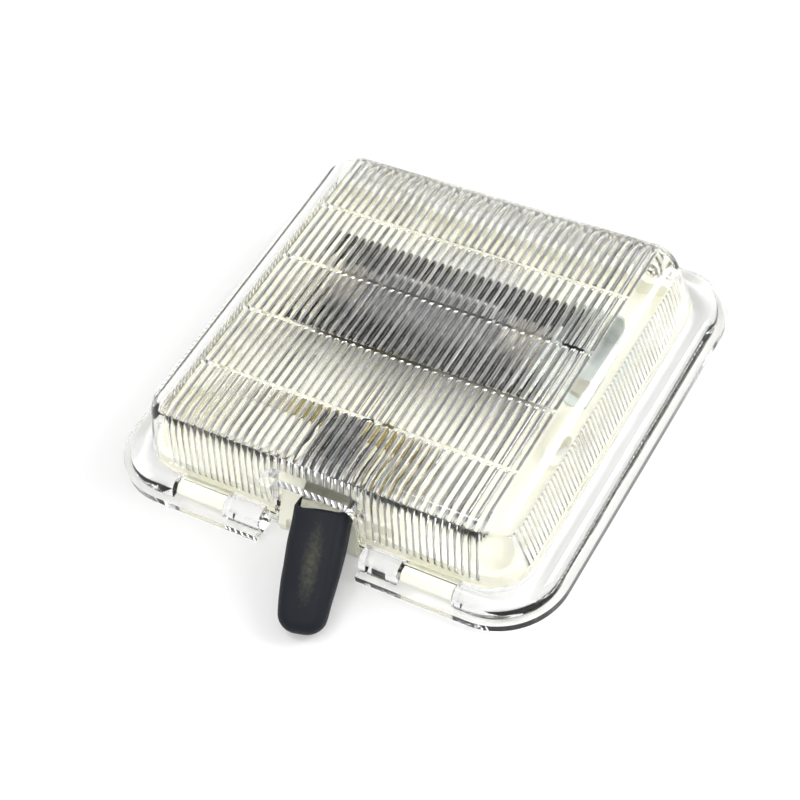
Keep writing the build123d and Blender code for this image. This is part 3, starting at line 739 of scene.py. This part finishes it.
@dataclass
class Studio:
    """White floor, soft light and the camera at the photograph's angle.

    Attributes:
        azimuth: Camera's direction round the lamp in degrees, from the front towards the right.
        elevation: Its height above the horizon in degrees.
        roll: Turn of the picture about its middle in degrees.
        distance_mm: From the camera to the point that it looks at.
        aim_mm: That point.
        lens_mm: Focal length.
        sensor_mm: Width of the sensor.
        sight_mm: Nearest and furthest distance that the camera sees.
        floor_mm: Side of the floor.
        floor_drop_mm: Room under the lamp, so that no faces coincide.
        paper_tone: Colour of the floor's paper.
        paper_seen: Lift of the paper's white where the camera sees it.
        paper_behind: The same where it shows in metal or through the lens.
        room_tone: Colour of the room.
        room_light: Strength of the room's light.
        ceiling_light: Strength of the dark part of the ceiling.
        dark_towards: Direction of that part.
        dark_from: Cosine of the angle at its soft edge.
        dark_full: Cosine of the angle where it is darkest.
        lights: The soft lights: a key from the right and behind, a fill from the front, one overhead.
        diffuse_turns: How often light may scatter from the opaque parts.
        all_turns: How often it may turn in all.
        lens_turns: How often in clear parts.
        clear_turns: How often it may pass straight on.
    """

    azimuth: float = 39.703
    elevation: float = 49.242
    roll: float = -12.871
    distance_mm: float = 325.39
    aim_mm: tuple[float, float, float] = (-0.38, -7.0, 3.82)
    lens_mm: float = 90.86
    sensor_mm: float = 36.0
    sight_mm: tuple[float, float] = (10.0, 20000.0)
    floor_mm: float = 4000.0
    floor_drop_mm: float = 0.15
    paper_tone: str = "#CACACA"
    paper_seen: float = 0.24
    paper_behind: float = 0.25
    room_tone: str = "#FFFFFF"
    room_light: float = 0.95
    ceiling_light: float = 0.03
    dark_towards: tuple[float, float, float] = (-0.34, 0.5, 0.795)
    dark_from: float = 0.94
    dark_full: float = 0.965
    lights: tuple[SoftLight, ...] = (
        SoftLight("key_light", (620.0, 420.0, 560.0), 420.0, 5.0),
        SoftLight("fill_light", (60.0, -300.0, 800.0), 500.0, 1.5),
        SoftLight("top_light", (-210.0, -80.0, 770.0), 160.0, 0.85),
    )
    diffuse_turns: int = 8
    all_turns: int = 32
    lens_turns: int = 20
    clear_turns: int = 16

    def add_floor(self) -> None:
        """Lay a white floor that keeps the lamp's shadow."""
        half = self.floor_mm * MM / 2
        drop = -self.floor_drop_mm * MM
        mesh = bpy.data.meshes.new("floor")
        corners = [(x * half, y * half, drop) for x, y in ((-1, -1), (1, -1), (1, 1), (-1, 1))]
        mesh.from_pydata(corners, [], [range(len(corners))])
        floor = bpy.data.objects.new("floor", mesh)
        bpy.context.scene.collection.objects.link(floor)
        material = bpy.data.materials.new("white_paper")
        material.use_nodes = True
        tree = material.node_tree
        tree.nodes.clear()
        ray = add_node(tree, "ShaderNodeLightPath")
        through = add_node(
            tree,
            "ShaderNodeMath",
            {"operation": "MAXIMUM"},
            links={0: ray.outputs["Is Glossy Ray"], 1: ray.outputs["Is Transmission Ray"]},
        )
        behind = add_node(
            tree,
            "ShaderNodeMath",
            {"operation": "MULTIPLY"},
            {1: self.paper_behind},
            {0: through.outputs[0]},
        )
        lift = add_node(
            tree,
            "ShaderNodeMath",
            {"operation": "MULTIPLY_ADD"},
            {1: self.paper_seen},
            {0: ray.outputs["Is Camera Ray"], 2: behind.outputs[0]},
        )
        paper = add_node(tree, "ShaderNodeBsdfDiffuse", values={"Color": linear(self.paper_tone)})
        light = add_node(tree, "ShaderNodeEmission", links={"Strength": lift.outputs[0]})
        both = add_node(tree, "ShaderNodeAddShader")
        tree.links.new(paper.outputs[0], both.inputs[0])
        tree.links.new(light.outputs[0], both.inputs[1])
        add_node(tree, "ShaderNodeOutputMaterial", links={"Surface": both.outputs[0]})
        floor.data.materials.append(material)

    def add_world(self) -> None:
        """Surround the lamp with a white room whose ceiling is dark behind the lamp."""
        world = bpy.data.worlds.new("studio")
        bpy.context.scene.world = world
        world.use_nodes = True
        tree = world.node_tree
        back = tree.nodes["Background"]
        place = add_node(tree, "ShaderNodeTexCoord").outputs["Generated"]
        near = add_node(
            tree, "ShaderNodeVectorMath", {"operation": "DOT_PRODUCT"}, {1: self.dark_towards}, {0: place}
        )
        tone = add_node(
            tree,
            "ShaderNodeMapRange",
            {"interpolation_type": "SMOOTHSTEP"},
            {
                "From Min": self.dark_from,
                "From Max": self.dark_full,
                "To Min": self.room_light,
                "To Max": self.ceiling_light,
            },
            {"Value": near.outputs["Value"]},
        )
        tree.links.new(tone.outputs["Result"], back.inputs["Strength"])
        back.inputs["Color"].default_value = linear(self.room_tone)

    def add_camera(self) -> None:
        """Set the camera at the photograph's angle."""
        around = math.radians(self.azimuth)
        above = math.radians(self.elevation)
        back = Vector((
            math.sin(around) * math.cos(above),
            -math.cos(around) * math.cos(above),
            math.sin(above),
        ))
        level = Vector((math.cos(around), math.sin(around), 0))
        upright = back.cross(level)
        turn = math.radians(self.roll)
        right = level * math.cos(turn) + upright * math.sin(turn)
        up = upright * math.cos(turn) - level * math.sin(turn)
        data = bpy.data.cameras.new("photo_camera")
        data.sensor_width = self.sensor_mm
        data.lens = self.lens_mm
        data.clip_start, data.clip_end = (far * MM for far in self.sight_mm)
        camera = bpy.data.objects.new("photo_camera", data)
        bpy.context.scene.collection.objects.link(camera)
        pose = Matrix((right, up, back)).transposed().to_4x4()
        pose.translation = (Vector(self.aim_mm) + back * self.distance_mm) * MM
        camera.matrix_world = pose
        bpy.context.scene.camera = camera

    def build(self) -> None:
        """Make the floor, the light and the camera."""
        self.add_floor()
        self.add_world()
        for light in self.lights:
            light.hang()
        self.add_camera()
        self.let_light_through()

    def let_light_through(self) -> None:
        """Let light pass the lens sharply and as often as its ribs turn it."""
        scene = bpy.context.scene
        scene.view_settings.view_transform = "Standard"
        scene.cycles.caustics_refractive = True
        scene.cycles.caustics_reflective = True
        scene.cycles.blur_glossy = 0.0
        scene.cycles.diffuse_bounces = self.diffuse_turns
        scene.cycles.max_bounces = self.all_turns
        scene.cycles.transmission_bounces = self.lens_turns
        scene.cycles.transparent_max_bounces = self.clear_turns


def main() -> None:
    """Build the sub-assemblies in order and report the pieces."""
    logging.basicConfig(level=logging.INFO, format="%(message)s")
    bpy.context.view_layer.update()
    for assembly in (Housing(), Bulb(), SwitchWorks(), Lever(), Studio()):
        assembly.build()
        log.info("%s done", type(assembly).__name__)


if __name__ == "__main__":
    main()
